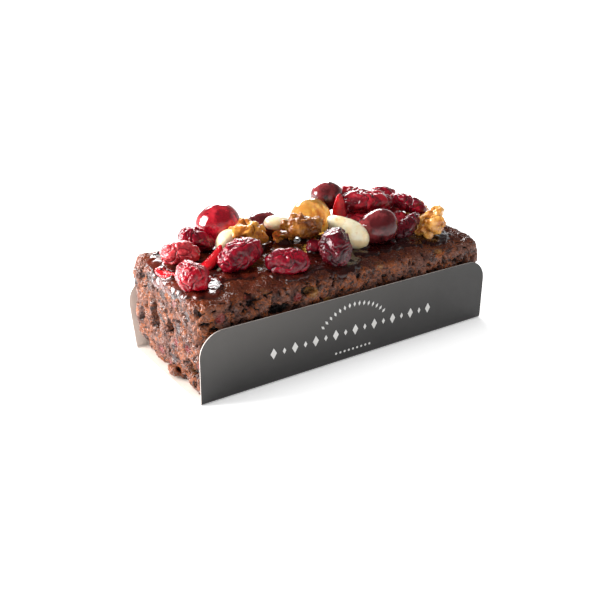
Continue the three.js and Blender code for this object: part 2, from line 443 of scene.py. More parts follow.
    def mix(self, share: Source, a: Source, b: Source) -> Socket:
        """Mixes two colours.

        Args:
            share: How much of the second colour there is.
            a: The first colour.
            b: The second colour.

        Returns:
            The mixed colour.
        """
        inputs = {0: share, 6: opaque(a), 7: opaque(b)}
        return self.node("ShaderNodeMix", inputs, data_type="RGBA", clamp_factor=True).outputs[2]

    def part(self, vector: Source, axis: int) -> Socket:
        """One part of a vector: 0, 1 or 2 for X, Y or Z."""
        return self.node("ShaderNodeSeparateXYZ", {0: vector}).outputs[axis]

    def place(self) -> Socket:
        """A place on the piece, in a material."""
        return self.node("ShaderNodeTexCoord").outputs["Object"]

    def along(self, axis: int, low: float, high: float) -> Socket:
        """A mask that grows along one axis of the cake, in a material.

        Args:
            axis: 0, 1 or 2 for X, Y or Z.
            low: Where it starts, in millimetres.
            high: Where it is full, in millimetres.

        Returns:
            The mask.
        """
        return self.spread(self.part(self.place(), axis), low * MM, high * MM)

    def attribute(self, name: str) -> Socket:
        """Reads a value that was stored on a piece's points, in a material."""
        return self.node("ShaderNodeAttribute", attribute_name=name).outputs["Fac"]


def add_sockets(
    group: bpy.types.NodeTree, inputs: dict[str, tuple[str, Any]], outputs: dict[str, str]
) -> None:
    """Gives a node group its named inputs and outputs.

    Args:
        group: The node group.
        inputs: For each input's name, its kind and its default.
        outputs: For each output's name, its kind.
    """
    for name, (kind, default) in inputs.items():
        socket = group.interface.new_socket(name, in_out="INPUT", socket_type=f"NodeSocket{kind}")
        if default is not None:
            socket.default_value = default
    for name, kind in outputs.items():
        group.interface.new_socket(name, in_out="OUTPUT", socket_type=f"NodeSocket{kind}")


# ---- Shaping with geometry nodes -----------------------------------------------------------------------


class Shaper:
    """A geometry node group that moves the points of a piece along its normals and keeps what it did."""

    def __init__(self, name: str, **lengths: float) -> None:
        """Starts the group.

        Args:
            name: The group's name.
            lengths: Its named inputs, with their defaults in millimetres.
        """
        self.group = bpy.data.node_groups.new(name, "GeometryNodeTree")
        self.tree = Tree(self.group)
        inputs: dict[str, tuple[str, Any]] = {"Geometry": ("Geometry", None)}
        for key, length in lengths.items():
            inputs[key.replace("_", " ").title()] = ("Float", length * MM)
        add_sockets(self.group, inputs, {"Geometry": "Geometry"})
        self.inputs = self.tree.node("NodeGroupInput").outputs
        self.geometry = self.inputs["Geometry"]
        self.place = self.tree.node("GeometryNodeInputPosition").outputs[0]
        self.normal = self.tree.node("GeometryNodeInputNormal").outputs[0]

    def push(self, height: Source, along: Optional[Source] = None) -> None:
        """Moves every point by a height along its normal.

        Args:
            height: The height, in metres.
            along: The direction, where it isn't the normal.
        """
        offset = self.tree.vector("SCALE", along or self.normal, height)
        moved = self.tree.node("GeometryNodeSetPosition", {"Geometry": self.geometry, "Offset": offset})
        self.geometry = moved.outputs[0]

    def store(self, name: str, value: Source) -> None:
        """Stores a value on every point.

        Args:
            name: The attribute's name.
            value: The value.
        """
        inputs = {"Geometry": self.geometry, "Name": name, "Value": value}
        kept = self.tree.node("GeometryNodeStoreNamedAttribute", inputs, data_type="FLOAT", domain="POINT")
        self.geometry = kept.outputs[0]

    def finish(self, reach: int = 0, depth: float = 0.0) -> bpy.types.NodeTree:
        """Ends the group with how hollow the surface is: 0.5 where flat, less in a hollow, more on a ridge.

        Args:
            reach: How many rings of neighbours to compare with. None stores nothing.
            depth: The height in millimetres that counts as fully hollow or ridged.

        Returns:
            The finished node group.
        """
        tree = self.tree
        if reach:
            inputs = {"Value": self.place, "Iterations": reach}
            blur = tree.node("GeometryNodeBlurAttribute", inputs, data_type="FLOAT_VECTOR")
            around = next(s for s in blur.outputs if s.enabled)
            rise = tree.vector("DOT_PRODUCT", tree.vector("SUBTRACT", self.place, around), self.normal)
            self.store("hollow", tree.spread(rise, -depth * MM, depth * MM))
        tree.node("NodeGroupOutput", {"Geometry": self.geometry})
        return self.group


def wrinkle_group() -> bpy.types.NodeTree:
    """Skin that has dried and drawn into plump folds with sharp creases, and fine wrinkles over them.

    Returns:
        The node group.
    """
    shaper = Shaper("Wrinkle", lift=0.5, fold_size=4, fold_depth=0.7, fine_size=1.2, fine_depth=0.15)
    tree, inputs, place = shaper.tree, shaper.inputs, shaper.place
    fold_sharpness, fine_sharpness = 1.6, 1.4
    folds = tree.creases(fold_sharpness, place, inputs["Fold Size"], 1.0, 0.5, 0.6)
    fine = tree.creases(fine_sharpness, place, inputs["Fine Size"], 1.5, 0.6, 0.8)
    sunk = tree.times(folds, inputs["Fold Depth"], tree.times(fine, inputs["Fine Depth"]))
    shaper.push(tree.math("SUBTRACT", inputs["Lift"], sunk))
    return shaper.finish(4, 0.22)


def kernel_group() -> bpy.types.NodeTree:
    """The lobes and furrows of a walnut kernel.

    Returns:
        The node group.
    """
    shaper = Shaper(
        "Kernel", lift=1.1, swirl_size=4, swirl_reach=3.5, lobe_size=4.6, lobe_depth=2.2, furrow_size=9,
        furrow_depth=1.2, fine_size=2, fine_depth=0.3,
    )
    tree, inputs, place = shaper.tree, shaper.inputs, shaper.place
    furrow_sharpness, fine_sharpness = 2.2, 1.2
    lobe_top, lobe_foot = 0.15, 0.75
    stirred = tree.swirled(place, inputs["Swirl Size"], 1.0, inputs["Swirl Reach"])
    cells = tree.cells(stirred, inputs["Lobe Size"], "SMOOTH_F1").outputs["Distance"]
    furrows = tree.creases(furrow_sharpness, place, inputs["Furrow Size"], 0.5, 0.4, 0.5)
    fine = tree.creases(fine_sharpness, place, inputs["Fine Size"], 1.0, 0.5, 0.5)
    sunk = tree.times(tree.spread(cells, lobe_top, lobe_foot), inputs["Lobe Depth"])
    sunk = tree.times(furrows, inputs["Furrow Depth"], sunk)
    sunk = tree.times(fine, inputs["Fine Depth"], sunk)
    shaper.push(tree.math("SUBTRACT", inputs["Lift"], sunk))
    return shaper.finish(6, 0.5)


def plump_group() -> bpy.types.NodeTree:
    """The slight unevenness of a smooth fruit or nut.

    Returns:
        The node group.
    """
    shaper = Shaper("Plump", lift=0.3, size=6, depth=0.5)
    tree, inputs = shaper.tree, shaper.inputs
    shaper.push(tree.times(tree.ripple(shaper.place, inputs["Size"], 1.0), inputs["Depth"], inputs["Lift"]))
    return shaper.finish(4, 0.1)


@dataclass(frozen=True)
class Dent:
    """A deep hole in the side of the cake, where fruit has come out, or a swelling. All in millimetres."""

    middle: Place
    reach: Place
    depth: float

    @property
    def rim(self) -> float:
        """How far out the full depth goes, as a share of the reach. A swelling rises to its very middle."""
        return 0.72 if self.depth > 0 else 0.0


def crumb_group(dents: Sequence[Dent]) -> bpy.types.NodeTree:
    """The crumb of a dense, moist cake: torn clods with tears between them, pores, and a few deep holes.

    The underside stays flat.

    Args:
        dents: The deep holes and the swellings.

    Returns:
        The node group.
    """
    shaper = Shaper(
        "Crumb", lift=1.2, swirl_size=5, swirl_reach=6, swell_size=11, swell_depth=2.2, clod_size=6.5,
        clod_depth=2.2, thread_size=3.6, thread_depth=0.7, grain_size=1.6, grain_depth=0.7, pore_size=3.6,
        pore_depth=2.1, bit_size=7.5, bit_height=0.7, lump_size=3.4, lump_height=1.6,
    )
    tree, inputs, place = shaper.tree, shaper.inputs, shaper.place
    steep, level = 0.55, 0.9
    lost_on_top, lift_lost_on_top, lost_on_fruit, pore_shade = -0.25, -0.6, -0.7, 0.7
    tear_levels, thread_sharpness, pore_levels = (0.3, 0.9), 2.5, (0.585, 0.65)
    fruit_reach, fruit_kinds = (0.38, 0.26), (0.48, 0.5)

    stirred = tree.swirled(place, inputs["Swirl Size"], 2.0, inputs["Swirl Reach"])
    up = tree.part(shaper.normal, 2)
    side = tree.math("SUBTRACT", 1.0, tree.spread(tree.math("ABSOLUTE", up), steep, level))
    on_top = tree.spread(up, 0.5, level)
    share = tree.times(on_top, lost_on_top, 1.0)

    def sunk(mask: Socket, depth: str, height: Socket) -> Socket:
        """The height, lowered by one of the depths where a mask is full."""
        return tree.times(mask, tree.times(inputs[depth], -1.0), height)

    height = tree.times(tree.ripple(place, inputs["Swell Size"], 1.0), inputs["Swell Depth"])
    height = tree.times(inputs["Lift"], tree.times(on_top, lift_lost_on_top, 1.0), height)
    clods = tree.cells(stirred, inputs["Clod Size"], "SMOOTH_F1").outputs["Distance"]
    height = sunk(tree.times(tree.spread(clods, *tear_levels), share), "Clod Depth", height)
    threads = tree.creases(thread_sharpness, place, inputs["Thread Size"], 2.0, 0.6, 1.2)
    height = tree.times(tree.times(threads, share), inputs["Thread Depth"], height)
    grain = tree.ripple(stirred, inputs["Grain Size"], 3.0, 0.65)
    height = tree.times(grain, tree.times(inputs["Grain Depth"], share), height)
    pores = tree.spread(tree.noise(stirred, inputs["Pore Size"], 1.5, 0.5, 0.6), *pore_levels)
    pores = tree.times(pores, side)
    height = sunk(pores, "Pore Depth", height)

    fruit = tree.cells(place, inputs["Bit Size"])
    kind = tree.part(fruit.outputs["Color"], 0)
    bit = tree.times(tree.spread(fruit.outputs["Distance"], *fruit_reach), tree.spread(kind, *fruit_kinds))
    bit = tree.times(bit, side)
    plain = tree.times(bit, lost_on_fruit, 1.0)
    height = tree.times(bit, inputs["Bit Height"], tree.times(height, plain))
    lumps = tree.ripple(place, inputs["Lump Size"], 2.0, 0.55)
    height = tree.times(tree.times(lumps, on_top), inputs["Lump Height"], height)

    # Painted shade: the pores, and the holes where fruit has come out, are kept so that they can be darkened
    # to near black.
    pit = tree.times(tree.times(pores, pore_shade), plain)
    for dent in dents:
        away = tree.vector("SUBTRACT", stirred, metres(dent.middle))
        away = tree.vector("LENGTH", tree.vector("DIVIDE", away, metres(dent.reach)))
        inside = tree.spread(away, 1.0, dent.rim)
        height = tree.times(inside, -dent.depth * MM, height)
        if dent.depth > 0:
            pit = tree.math("MAXIMUM", pit, inside)
    above_table = tree.spread(tree.part(place, 2), 0.9 * MM, 5 * MM, 0.6, 1.0)
    not_under = tree.spread(up, -0.95, -0.6)
    shaper.push(tree.times(height, tree.times(not_under, above_table)))
    for name, value in (("pit", pit), ("bit", bit), ("kind", kind), ("thread", threads)):
        shaper.store(name, value)
    return shaper.finish(7, 0.7)


def glaze_group(cake: Piece, toppings: Piece) -> bpy.types.NodeTree:
    """Glaze that pools round the feet of the toppings and sinks out of sight away from them.

    Args:
        cake: The cake under the glaze.
        toppings: Everything that stands in it.

    Returns:
        The node group.
    """
    shaper = Shaper(
        "Glaze Film", film=1.6, pool=7.5, wander_size=6, wander=8, climb=2.6, sink=3, ripple_size=3.2,
        ripple=1.4,
    )
    tree, inputs, place = shaper.tree, shaper.inputs, shaper.place
    edge, cut_above = 0.9 * MM, 2.0 * MM

    def distance_from(piece: Piece) -> Socket:
        """How far every point is from a piece."""
        shape = tree.node("GeometryNodeObjectInfo", {"Object": piece}).outputs["Geometry"]
        return tree.node("GeometryNodeProximity", {0: shape}).outputs["Distance"]

    pool = tree.times(tree.ripple(place, inputs["Wander Size"], 2.0, 0.6), inputs["Wander"], inputs["Pool"])
    out = tree.math("SUBTRACT", distance_from(toppings), pool)
    shaper.store("climb", tree.math("SUBTRACT", distance_from(cake), inputs["Climb"]))
    climb = tree.node("GeometryNodeInputNamedAttribute", {"Name": "climb"}, data_type="FLOAT").outputs[0]
    covered = tree.spread(tree.math("MAXIMUM", out, tree.times(climb, 2.0)), edge, -edge)
    film = tree.times(tree.ripple(place, inputs["Ripple Size"], 2.0, 0.55), inputs["Ripple"], inputs["Film"])
    drawn_in = tree.times(tree.times(inputs["Sink"], -1.0), tree.spread(climb, 1.5 * MM, 0.5 * MM, 0.35, 1.0))
    mixed = tree.node("ShaderNodeMix", {0: covered, 2: drawn_in, 3: film}, data_type="FLOAT")
    shaper.push(mixed.outputs[0])
    selection = {"Geometry": shaper.geometry, "Selection": tree.math("GREATER_THAN", climb, cut_above)}
    shaper.geometry = tree.node("GeometryNodeDeleteGeometry", selection, domain="POINT").outputs[0]
    return shaper.finish(5, 0.25)


def bow_group() -> bpy.types.NodeTree:
    """The slight bow of folded card: its walls move across their own plane and stay on the table.

    Returns:
        The node group.
    """
    shaper = Shaper("Card Bow", size=70, depth=0.7)
    tree, inputs = shaper.tree, shaper.inputs
    soft = tree.times(tree.ripple(shaper.place, inputs["Size"], 0.0), inputs["Depth"])
    free = tree.spread(tree.part(shaper.place, 2), 2 * MM, 20 * MM)
    shaper.push(tree.times(soft, free), (0.0, 1.0, 0.0))
    return shaper.finish()


# ---- Shader groups -------------------------------------------------------------------------------------


def mottle_group() -> bpy.types.NodeTree:
    """Soft irregular patches, as a mask.

    Returns:
        The shader node group.
    """
    group = bpy.data.node_groups.new("Mottle", "ShaderNodeTree")
    defaults = {"Size": 5 * MM, "Low": 0.4, "High": 0.6, "Shift": 0.0}
    add_sockets(group, {key: ("Float", value) for key, value in defaults.items()}, {"Mask": "Float"})
    tree = Tree(group)
    given = tree.node("NodeGroupInput").outputs
    shift = tree.node("ShaderNodeCombineXYZ", {0: given["Shift"]}).outputs[0]
    patches = tree.noise(tree.vector("ADD", tree.place(), shift), given["Size"], 3.0, 0.6, 0.3)
    tree.node("NodeGroupOutput", {"Mask": tree.spread(patches, given["Low"], given["High"])})
    return group


def relief_group() -> bpy.types.NodeTree:
    """Fine relief for a Bump node: grain over small creases.

    Returns:
        The shader node group.
    """
    group = bpy.data.node_groups.new("Fine Relief", "ShaderNodeTree")
    add_sockets(group, {"Size": ("Float", 0.6 * MM), "Creases": ("Float", 0.5)}, {"Height": "Float"})
    tree = Tree(group)
    given = tree.node("NodeGroupInput").outputs
    place = tree.place()
    grain = tree.noise(place, given["Size"], 3.0, 0.6)
    creases = tree.creases(1.5, place, tree.times(given["Size"], 2.0), 1.0, 0.5, 0.5)
    height = tree.times(creases, tree.times(given["Creases"], -1.0), grain)
    tree.node("NodeGroupOutput", {"Height": height})
    return group


MOTTLE = mottle_group()
RELIEF = relief_group()


# ---- Finishes ------------------------------------------------------------------------------------------


@dataclass(frozen=True)
class Patches:
    """Soft patches: their size in millimetres, the levels where they start and are full, and a shift."""

    size: float
    low: float = 0.4
    high: float = 0.6
    shift: float = 0.0

    def mask(self, tree: Tree) -> Socket:
        """The patches as a mask, in a material's tree."""
        inputs = {"Size": self.size * MM, "Low": self.low, "High": self.high, "Shift": self.shift}
        return tree.node("ShaderNodeGroup", inputs, node_tree=MOTTLE).outputs["Mask"]


@dataclass(frozen=True)
class Relief:
    """Fine relief: its grain's size, how strong its creases are, and its depth. Lengths in millimetres."""

    size: float
    creases: float
    depth: float

    def normal(self, tree: Tree) -> Socket:
        """The bumpy normal, in a material's tree."""
        inputs = {"Size": self.size * MM, "Creases": self.creases}
        height = tree.node("ShaderNodeGroup", inputs, node_tree=RELIEF).outputs["Height"]
        inputs = {"Strength": 1.0, "Distance": self.depth * MM, "Height": height}
        return tree.node("ShaderNodeBump", inputs).outputs["Normal"]


@dataclass(frozen=True)
class Finish:
    """What every finish shares: a Principled surface with constants on its own sockets."""

    name: str
    constants: dict[str, Any]

    relief: ClassVar[Relief] = Relief(0.6, 0.5, 0.06)
    gloss: ClassVar[Patches] = Patches(2)
    rough: ClassVar[Span] = (0.16, 0.34)

    @staticmethod
    def on_relief(tree: Tree, levels: Span) -> Socket:
        """A mask of the hollows or, where the second level is the higher one, of the ridges.

        Args:
            tree: The material's tree.
            levels: Where the mask starts and where it is full, around 0.5 for a flat place.

        Returns:
            The mask.
        """
        return tree.spread(tree.attribute("hollow"), *levels)

    def colour(self, tree: Tree) -> Socket:
        """Works out the colour of the surface.

        Args:
            tree: The material's tree.

        Returns:
            The colour.
        """
        raise NotImplementedError

    def roughness(self, tree: Tree) -> Socket:
        """Works out how rough the surface is, in soft patches.

        Args:
            tree: The material's tree.

        Returns:
            The roughness.
        """
        return tree.spread(self.gloss.mask(tree), 0.0, 1.0, *self.rough)

    def material(self) -> bpy.types.Material:
        """Builds the material. A coat follows the relief too.

        Returns:
            The new material.
        """
        material = bpy.data.materials.new(self.name)
        material.use_nodes = True
        material.node_tree.nodes.clear()
        tree = Tree(material.node_tree)
        normal = self.relief.normal(tree)
        painted = {"Base Color": self.colour(tree), "Roughness": self.roughness(tree), "Normal": normal}
        if "Coat Weight" in self.constants:
            painted["Coat Normal"] = normal
        surface = tree.node("ShaderNodeBsdfPrincipled", {**self.constants, **painted})
        tree.node("ShaderNodeOutputMaterial", {"Surface": surface.outputs[0]})
        return material


@dataclass(frozen=True)
class CrumbFinish(Finish):
    """Moist dark crumb with orange-brown threads and painted shade in its hollows, pores and holes, glazed on
    its top.
    """

    base: Colour = (0.070, 0.020, 0.011)
    pale: Colour = (0.17, 0.064, 0.040)
    amber: Colour = (0.28, 0.070, 0.014)
    # Painted shade: the crumb goes towards this near black in its hollows.
    dark: Colour = (0.010, 0.003, 0.002)
    # Painted shade in the pores and the holes.
    pit: Colour = (0.006, 0.002, 0.002)
    # The two ends of the glazed top: partly the glaze's own colour, partly painted shade at the right end and
    # painted light at the left end.
    glazed: Colour = (0.045, 0.008, 0.005)
    warm: Colour = (0.16, 0.032, 0.012)
    raisin: Colour = (0.020, 0.006, 0.006)
    red_bit: Colour = (0.16, 0.012, 0.012)
    sultana: Colour = (0.26, 0.11, 0.02)

    pale_patches: ClassVar[Patches] = Patches(6, 0.42, 0.6)
    thread_patches: ClassVar[Patches] = Patches(9, 0.38, 0.55, 0.3)
    amber_patches: ClassVar[Patches] = Patches(4, 0.56, 0.62, 0.5)
    glaze_patches: ClassVar[Patches] = Patches(5, 0.25, 0.45, 0.9)
    wet_patches: ClassVar[Patches] = Patches(2.5, 0.46, 0.54, 0.1)
    hollow_shade_levels: ClassVar[Span] = (0.5, 0.22)
    thread_levels: ClassVar[Span] = (0.35, 0.85)
    red_kinds: ClassVar[Span] = (0.78, 0.8)
    sultana_kinds: ClassVar[Span] = (0.88, 0.9)
    thread_share: ClassVar[float] = 0.9
    amber_share: ClassVar[float] = 0.55
    fruit_share: ClassVar[float] = 0.92
    glaze_share: ClassVar[float] = 0.85
    wet_share: ClassVar[float] = 0.9
    relief: ClassVar[Relief] = Relief(1.1, 0.9, 0.42)
    rough: ClassVar[Span] = (0.7, 0.12)

    def top(self, tree: Tree) -> Socket:
        """A mask of the glazed top, in the material's tree."""
        up = tree.part(tree.node("ShaderNodeNewGeometry").outputs["Normal"], 2)
        top = tree.times(tree.spread(up, 0.0, 0.5), tree.along(2, 39, 43))
        return tree.times(top, self.glaze_patches.mask(tree))

    def colour(self, tree: Tree) -> Socket:
        """See Finish.colour."""
        colour = tree.mix(self.pale_patches.mask(tree), self.base, self.pale)
        threads = tree.spread(tree.attribute("thread"), *self.thread_levels)
        threads = tree.times(threads, self.thread_patches.mask(tree))
        colour = tree.mix(tree.times(threads, self.thread_share), colour, self.amber)
        colour = tree.mix(tree.times(self.amber_patches.mask(tree), self.amber_share), colour, self.amber)
        # Painted shade in the hollows of the crumb.
        colour = tree.mix(self.on_relief(tree, self.hollow_shade_levels), colour, self.dark)
        # Painted shade: near black in the pores and the holes.
        colour = tree.mix(tree.attribute("pit"), colour, self.pit)
        kind = tree.attribute("kind")
        fruit = tree.mix(tree.spread(kind, *self.red_kinds), self.raisin, self.red_bit)
        fruit = tree.mix(tree.spread(kind, *self.sultana_kinds), fruit, self.sultana)
        colour = tree.mix(tree.times(tree.attribute("bit"), self.fruit_share), colour, fruit)
        # The glazed top is dark at the right end, among the fruit, and lighter and warmer at the left end:
        # partly painted shade and painted light.
        glazed = tree.mix(tree.along(0, -25, -70), self.glazed, self.warm)
        return tree.mix(tree.times(self.top(tree), self.glaze_share), colour, glazed)

    def roughness(self, tree: Tree) -> Socket:
        """See Finish.roughness. Embedded fruit, the glazed top and patches of the crumb are wet."""
        wet = tree.times(self.wet_patches.mask(tree), self.wet_share)
        wet = tree.math("MAXIMUM", wet, tree.attribute("bit"))
        return tree.spread(tree.math("MAXIMUM", wet, self.top(tree)), 0.0, 1.0, *self.rough)


@dataclass(frozen=True)
class GlazeFinish(Finish):
    """Dark red-brown glaze, thin and warm at the left end and nearly black towards the right end, in deep
    patches and in its hollows. The darkness towards the right is partly painted shade under the fruit, and in
    the hollows it is painted shade.
    """

    thin: Colour = (0.09, 0.012, 0.005)
    deep: Colour = (0.009, 0.001, 0.001)

    deep_patches: ClassVar[Patches] = Patches(12, 0.45, 0.62)
    glaze_shade_levels: ClassVar[Span] = (0.5, 0.1)
    deep_share: ClassVar[float] = 0.9
    relief: ClassVar[Relief] = Relief(0.8, 0.3, 0.06)
    gloss: ClassVar[Patches] = Patches(3, 0.4, 0.6, 0.2)
    rough: ClassVar[Span] = (0.12, 0.3)

    def colour(self, tree: Tree) -> Socket:
        """See Finish.colour."""
        # Darker towards the right end: partly painted shade under the right-hand fruit.
        deep = tree.math("MAXIMUM", tree.along(0, -45, 5), self.deep_patches.mask(tree))
        colour = tree.mix(tree.times(deep, self.deep_share), self.thin, self.deep)
        # Painted shade: nearly black in the glaze's hollows, next to the fruit.
        return tree.mix(self.on_relief(tree, self.glaze_shade_levels), colour, self.deep)


@dataclass(frozen=True)
class CranberryFinish(Finish):
    """Dried cranberry: red folds between creases darkened with painted shade, with painted glints on the
    ridges, under a thin wet glaze.
    """

    bright: Colour = (0.30, 0.003, 0.016)
    maroon: Colour = (0.12, 0.002, 0.010)
    # Painted shade in the creases.
    crease: Colour = (0.02, 0.0005, 0.002)
    # How strong the painted glints on the ridges are.
    painted_glint: float = 0.0

    # The colour of the painted glints.
    glint_colour: ClassVar[Colour] = (0.80, 0.30, 0.30)
    maroon_patches: ClassVar[Patches] = Patches(5, 0.42, 0.62)
    glint_patches: ClassVar[Patches] = Patches(1.5, 0.45, 0.6, 0.4)
    crease_shade_levels: ClassVar[Span] = (0.55, 0.15)
    glint_levels: ClassVar[Span] = (0.6, 0.95)
    wet_levels: ClassVar[Span] = (0.3, 0.8)
    relief: ClassVar[Relief] = Relief(1.0, 0.5, 0.17)
    rough: ClassVar[Span] = (0.35, 0.16)

    def colour(self, tree: Tree) -> Socket:
        """See Finish.colour."""
        colour = tree.mix(self.maroon_patches.mask(tree), self.bright, self.maroon)
        # Painted shade: the creases go nearly black.
        colour = tree.mix(self.on_relief(tree, self.crease_shade_levels), colour, self.crease)
        # Painted highlight: pale pink glints on the ridges, in small patches.
        painted_glint = tree.times(self.on_relief(tree, self.glint_levels), self.glint_patches.mask(tree))
        return tree.mix(tree.times(painted_glint, self.painted_glint), colour, self.glint_colour)

    def roughness(self, tree: Tree) -> Socket:
        """See Finish.roughness. The folds are wetter than the creases."""
        return tree.spread(tree.attribute("hollow"), *self.wet_levels, *self.rough)


@dataclass(frozen=True)
class CherryFinish(Finish):
    """Candied cherry: a smooth, wet, translucent skin, with lighter patches that are partly paler flesh and
    partly painted light shining through it, and darker patches.
    """

    skin: Colour = (0.28, 0.003, 0.010)
    painted_glow: Colour = (0.60, 0.03, 0.045)
    shade: Colour = (0.07, 0.001, 0.005)

    painted_glow_patches: ClassVar[Patches] = Patches(7, 0.42, 0.68)
    shade_patches: ClassVar[Patches] = Patches(5, 0.5, 0.75, 0.4)
    relief: ClassVar[Relief] = Relief(2.0, 0.2, 0.05)
    gloss: ClassVar[Patches] = Patches(3, 0.4, 0.7, 0.1)
    rough: ClassVar[Span] = (0.05, 0.14)

    def colour(self, tree: Tree) -> Socket:
        """See Finish.colour."""
        # Painted light: the lighter patches stand partly for light shining through the flesh; on the dark
        # cherry they are painted highlights.
        colour = tree.mix(self.painted_glow_patches.mask(tree), self.skin, self.painted_glow)
        return tree.mix(self.shade_patches.mask(tree), colour, self.shade)


@dataclass(frozen=True)
class DarkFruitFinish(Finish):
    """Raisins, dates and prunes: nearly black, red where thin, with painted shade in the folds."""

    skin: Colour = (0.13, 0.004, 0.010)
    thin: Colour = (0.34, 0.010, 0.020)
    # Painted shade in the folds.
    fold: Colour = (0.01, 0.001, 0.002)

    thin_patches: ClassVar[Patches] = Patches(5, 0.42, 0.6)
    fold_shade_levels: ClassVar[Span] = (0.45, 0.15)
    relief: ClassVar[Relief] = Relief(0.9, 0.6, 0.07)
    rough: ClassVar[Span] = (0.14, 0.3)

    def colour(self, tree: Tree) -> Socket:
        """See Finish.colour."""
        colour = tree.mix(self.thin_patches.mask(tree), self.skin, self.thin)
        # Painted shade: nearly black in the folds.
        return tree.mix(self.on_relief(tree, self.fold_shade_levels), colour, self.fold)


@dataclass(frozen=True)
class BlanchedNutFinish(Finish):
    """A skinless nut: ivory with faint streaks, and a darker gold in its hollows that is painted shade."""

    cream: Colour = (0.97, 0.86, 0.62)
    ivory: Colour = (0.95, 0.75, 0.42)
    gold: Colour = (0.60, 0.31, 0.05)

    ivory_patches: ClassVar[Patches] = Patches(6, 0.4, 0.65)
    gold_patches: ClassVar[Patches] = Patches(3, 0.58, 0.7, 0.5)
    gold_shade_levels: ClassVar[Span] = (0.45, 0.1)
    streak_share: ClassVar[float] = 0.4
    relief: ClassVar[Relief] = Relief(0.7, 0.3, 0.035)
    rough: ClassVar[Span] = (0.2, 0.32)

    def colour(self, tree: Tree) -> Socket:
        """See Finish.colour."""
        colour = tree.mix(self.ivory_patches.mask(tree), self.cream, self.ivory)
        colour = tree.mix(tree.times(self.gold_patches.mask(tree), self.streak_share), colour, self.gold)
        # Painted shade: darker gold in the hollows.
        return tree.mix(self.on_relief(tree, self.gold_shade_levels), colour, self.gold)


@dataclass(frozen=True)
class WalnutFinish(Finish):
    """Walnut kernel under a thin glaze: pale gold on the lobes and nearly black in the furrows, partly the
    skin's own colour and partly painted shade.
    """

    lobe: Colour = (0.82, 0.39, 0.08)
    skin: Colour = (0.44, 0.13, 0.014)
    darkness: float = 0.0

    # Partly the skin's own colour and partly painted shade in the furrows.
    furrow: ClassVar[Colour] = (0.035, 0.008, 0.002)
    syrup: ClassVar[Colour] = (0.075, 0.02, 0.005)
    skin_patches: ClassVar[Patches] = Patches(5, 0.4, 0.62)
    lobe_levels: ClassVar[Span] = (0.62, 0.95)
    furrow_shade_levels: ClassVar[Span] = (0.5, 0.2)
    relief: ClassVar[Relief] = Relief(0.6, 0.7, 0.06)
    rough: ClassVar[Span] = (0.16, 0.34)

    def colour(self, tree: Tree) -> Socket:
        """See Finish.colour."""
        colour = tree.mix(self.skin_patches.mask(tree), self.lobe, self.skin)
        colour = tree.mix(self.on_relief(tree, self.lobe_levels), colour, self.lobe)
        # Painted shade with the skin's own darker colour: nearly black in the furrows.
        colour = tree.mix(self.on_relief(tree, self.furrow_shade_levels), colour, self.furrow)
        return tree.mix(self.darkness, colour, self.syrup)


@dataclass(frozen=True)
class CardFinish(Finish):
    """Coated card: faint fibres and a slow change of tone."""

    tone: Colour = (0.011, 0.0105, 0.0105)
    other: Colour = (0.016, 0.015, 0.015)
    smoothest: float = 0.36

    tone_patches: ClassVar[Patches] = Patches(25, 0.35, 0.65)
    relief: ClassVar[Relief] = Relief(0.5, 0.2, 0.006)
    gloss: ClassVar[Patches] = Patches(4, 0.3, 0.7, 0.2)
    scuff: ClassVar[float] = 0.06

    def colour(self, tree: Tree) -> Socket:
        """See Finish.colour."""
        return tree.mix(self.tone_patches.mask(tree), self.tone, self.other)

    def roughness(self, tree: Tree) -> Socket:
        """See Finish.roughness."""
        return tree.spread(self.gloss.mask(tree), 0.0, 1.0, self.smoothest, self.smoothest + self.scuff)


@dataclass(frozen=True)
class InkFinish(CardFinish):
    """The sleeve's charcoal ink, with painted light that makes it lighter towards the top and the left end.
    """

    # Painted light: the ink is mixed towards this lighter grey near the top and the left end.
    light: ClassVar[Colour] = (0.115, 0.107, 0.10)
    painted_light_share: ClassVar[float] = 0.8
    painted_light_left_gain: ClassVar[float] = 0.7

    def colour(self, tree: Tree) -> Socket:
        """See Finish.colour."""
        # Painted light, stronger towards the top and the left end.
        up = tree.along(2, -4, 38)
        left = tree.times(tree.along(0, 90, -90), self.painted_light_left_gain, 1.0 - self.painted_light_left_gain)
        return tree.mix(tree.times(tree.times(up, left), self.painted_light_share), super().colour(tree), self.light)


WET = {"Coat Weight": 1.0, "Coat Roughness": 0.04, "Coat IOR": 1.43, "Specular IOR Level": 0.1}
JUICY = {
    **WET, "Subsurface Weight": 0.25, "Subsurface Radius": (1.0, 0.1, 0.08), "Subsurface Scale": 1.5 * MM
}
CLEAR = {"Transmission Weight": 0.6, "IOR": 1.38}
HONEY = {"Subsurface Weight": 0.3, "Subsurface Radius": (1.0, 0.5, 0.1), "Subsurface Scale": 2 * MM}
NUTTY = {"Subsurface Weight": 0.25, "Subsurface Radius": (1.0, 0.7, 0.35), "Subsurface Scale": 1.5 * MM}
TOASTED = {"Coat Weight": 0.6, "Coat Roughness": 0.08, "Specular IOR Level": 0.2}


